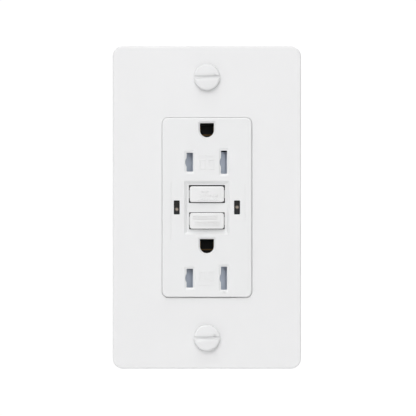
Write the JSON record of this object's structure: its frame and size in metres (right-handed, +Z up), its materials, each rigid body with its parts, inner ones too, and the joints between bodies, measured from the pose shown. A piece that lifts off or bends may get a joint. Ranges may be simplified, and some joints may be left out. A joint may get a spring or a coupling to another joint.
{
  "type": "gfci outlet",
  "caption": "White ground-fault duplex outlet with rectangular face, test and reset buttons, indicator windows and a screwed-on wall plate; ground holes on top.",
  "frame": {"origin": "centre of the wall plate's back rim, in the plane of the wall's surface", "axes": "+Z up, +Y into the wall, +X to the right as seen from the room"},
  "size_m": [0.07, 0.0373, 0.12],
  "materials": {
    "plate_plastic": "moulded white plastic, satin gloss",
    "face_plastic": "moulded white plastic, satin gloss",
    "button_plastic": "moulded white plastic, satin gloss",
    "painted_screw": "steel screw painted white",
    "smoked_window": "smoked clear plastic",
    "shutter_plastic": "blue-grey moulded plastic",
    "housing_plastic": "moulded thermoplastic, fine matt grain",
    "inner_plastic": "black moulded thermoplastic",
    "zinc_steel": "zinc-plated stamped steel",
    "spring_steel": "spring steel wire",
    "brass_metal": "stamped brass",
    "nickel_brass": "nickel-plated screw and clamp",
    "brass_screw": "brass-plated screw and clamp",
    "ground_green": "green-dyed plated screw",
    "silver_contact": "silver alloy contact",
    "copper_winding": "enamelled copper wire",
    "ferrite_core": "tape-wound magnetic core",
    "board_laminate": "green circuit board",
    "fibre_washer": "pressed fibre",
    "lamp_plastic": "milky lamp body",
    "varistor_blue": "blue dipped coating",
    "capacitor_sleeve": "black shrink sleeve",
    "chip_case": "moulded chip case"
  },
  "bodies": {
    "device": {"wall_plate": "plate_plastic", "face_cover": "face_plastic", "left_light_pipe": "smoked_window", "right_light_pipe": "smoked_window", "mounting_strap": "zinc_steel", "box_screws": "zinc_steel", "screw_retainers": "fibre_washer", "rear_housing": "housing_plastic", "housing_screws": "zinc_steel", "middle_frame": "inner_plastic", "hot_bus": "brass_metal", "neutral_bus": "brass_metal", "hot_line_terminal": "brass_metal", "neutral_line_terminal": "brass_metal", "upper_ground_contact": "brass_metal", "lower_ground_contact": "brass_metal", "ground_rivets": "zinc_steel", "circuit_board": "board_laminate", "transformer_shell": "inner_plastic", "transformer_cores": "ferrite_core", "line_conductors": "brass_metal", "solenoid_bobbin": "inner_plastic", "solenoid_coil": "copper_winding", "solenoid_frame": "zinc_steel", "plunger_spring": "spring_steel", "fixed_contacts": "silver_contact", "reset_spring": "spring_steel", "test_spring": "spring_steel", "test_blade": "brass_metal", "indicator_leds": "lamp_plastic", "varistor": "varistor_blue", "capacitors": "capacitor_sleeve", "controller_chip": "chip_case", "upper_shutter_tray": "shutter_plastic", "lower_shutter_tray": "shutter_plastic", "upper_shutter_spring": "spring_steel", "lower_shutter_spring": "spring_steel"},
    "upper_plate_screw": {"upper_plate_screw": "painted_screw"},
    "lower_plate_screw": {"lower_plate_screw": "painted_screw"},
    "test_button": {"test_button": "button_plastic"},
    "reset_button": {"reset_button": "button_plastic", "reset_pin": "zinc_steel"},
    "contact_carrier": {"contact_carrier": "inner_plastic", "contact_bridges": "brass_metal", "moving_contacts": "silver_contact", "latch_spring": "spring_steel"},
    "latch_plate": {"latch_plate": "zinc_steel"},
    "plunger": {"plunger": "zinc_steel"},
    "upper_shutter": {"upper_shutter": "shutter_plastic"},
    "lower_shutter": {"lower_shutter": "shutter_plastic"},
    "ground_clamp": {"ground_clamp": "zinc_steel"},
    "ground_screw": {"ground_screw": "ground_green"},
    "hot_line_clamp": {"hot_line_clamp": "brass_screw"},
    "hot_line_screw": {"hot_line_screw": "brass_screw"},
    "hot_load_clamp": {"hot_load_clamp": "brass_screw"},
    "hot_load_screw": {"hot_load_screw": "brass_screw"},
    "neutral_line_clamp": {"neutral_line_clamp": "nickel_brass"},
    "neutral_line_screw": {"neutral_line_screw": "nickel_brass"},
    "neutral_load_clamp": {"neutral_load_clamp": "nickel_brass"},
    "neutral_load_screw": {"neutral_load_screw": "nickel_brass"}
  },
  "joints": [
    {"name": "test_press", "type": "slide", "parent": "device", "child": "test_button", "axis": [0, 1, 0], "range_m": [0, 0.0015], "stiffness_N_per_m": 600, "springref_m": -0.002, "deforming": ["test_spring"]},
    {"name": "reset_press", "type": "slide", "parent": "device", "child": "reset_button", "axis": [0, 1, 0], "range_m": [0, 0.002], "stiffness_N_per_m": 1000, "springref_m": -0.002, "deforming": ["reset_spring"]},
    {"name": "carrier_slide", "type": "slide", "parent": "device", "child": "contact_carrier", "axis": [0, 1, 0], "range_m": [0, 0.002]},
    {"name": "plunger_pull", "type": "slide", "parent": "device", "child": "plunger", "axis": [0, 0, 1], "range_m": [0, 0.0018], "stiffness_N_per_m": 120, "springref_m": -0.002, "deforming": ["plunger_spring"]},
    {"name": "latch_release", "type": "slide", "parent": "contact_carrier", "child": "latch_plate", "axis": [0, 0, 1], "range_m": [0, 0.0018], "deforming": ["latch_spring"]},
    {"name": "upper_shutter_open", "type": "slide", "parent": "device", "child": "upper_shutter", "axis": [-1, 0, 0], "range_m": [0, 0.0029], "stiffness_N_per_m": 80, "springref_m": -0.001, "deforming": ["upper_shutter_spring"]},
    {"name": "lower_shutter_open", "type": "slide", "parent": "device", "child": "lower_shutter", "axis": [-1, 0, 0], "range_m": [0, 0.0029], "stiffness_N_per_m": 80, "springref_m": -0.001, "deforming": ["lower_shutter_spring"]},
    {"name": "upper_plate_screw_turn", "type": "hinge", "parent": "device", "child": "upper_plate_screw", "pos_m": [0, 0, 0.04842], "axis": [0, -1, 0], "continuous": true},
    {"name": "lower_plate_screw_turn", "type": "hinge", "parent": "device", "child": "lower_plate_screw", "pos_m": [0, 0, -0.04842], "axis": [0, -1, 0], "continuous": true},
    {"name": "hot_line_clamp_lift", "type": "slide", "parent": "device", "child": "hot_line_clamp", "axis": [-1, 0, 0], "range_m": [0, 0.0024]},
    {"name": "hot_line_screw_turn", "type": "hinge", "parent": "hot_line_clamp", "child": "hot_line_screw", "pos_m": [-0.018, 0.0202, 0.014], "axis": [-1, 0, 0], "range_deg": [0, 1080]},
    {"name": "hot_load_clamp_lift", "type": "slide", "parent": "device", "child": "hot_load_clamp", "axis": [-1, 0, 0], "range_m": [0, 0.0024]},
    {"name": "hot_load_screw_turn", "type": "hinge", "parent": "hot_load_clamp", "child": "hot_load_screw", "pos_m": [-0.018, 0.0202, -0.014], "axis": [-1, 0, 0], "range_deg": [0, 1080]},
    {"name": "neutral_line_clamp_lift", "type": "slide", "parent": "device", "child": "neutral_line_clamp", "axis": [1, 0, 0], "range_m": [0, 0.0024]},
    {"name": "neutral_line_screw_turn", "type": "hinge", "parent": "neutral_line_clamp", "child": "neutral_line_screw", "pos_m": [0.018, 0.0202, 0.014], "axis": [1, 0, 0], "range_deg": [0, 1080]},
    {"name": "neutral_load_clamp_lift", "type": "slide", "parent": "device", "child": "neutral_load_clamp", "axis": [1, 0, 0], "range_m": [0, 0.0024]},
    {"name": "neutral_load_screw_turn", "type": "hinge", "parent": "neutral_load_clamp", "child": "neutral_load_screw", "pos_m": [0.018, 0.0202, -0.014], "axis": [1, 0, 0], "range_deg": [0, 1080]},
    {"name": "ground_clamp_lift", "type": "slide", "parent": "device", "child": "ground_clamp", "axis": [-1, 0, 0], "range_m": [0, 0.0024]},
    {"name": "ground_screw_turn", "type": "hinge", "parent": "ground_clamp", "child": "ground_screw", "pos_m": [-0.015, 0.007, -0.0416], "axis": [-1, 0, 0], "range_deg": [0, 1080]}
  ],
  "couplings": [
    {"joint": "carrier_slide", "follows": "reset_press", "ratio": 1},
    {"joint": "latch_release", "follows": "plunger_pull", "ratio": 1},
    {"joint": "hot_line_clamp_lift", "follows": "hot_line_screw_turn", "m_per_rad": 0.00012633},
    {"joint": "hot_load_clamp_lift", "follows": "hot_load_screw_turn", "m_per_rad": 0.00012633},
    {"joint": "neutral_line_clamp_lift", "follows": "neutral_line_screw_turn", "m_per_rad": 0.00012633},
    {"joint": "neutral_load_clamp_lift", "follows": "neutral_load_screw_turn", "m_per_rad": 0.00012633},
    {"joint": "ground_clamp_lift", "follows": "ground_screw_turn", "m_per_rad": 0.00012633}
  ]
}
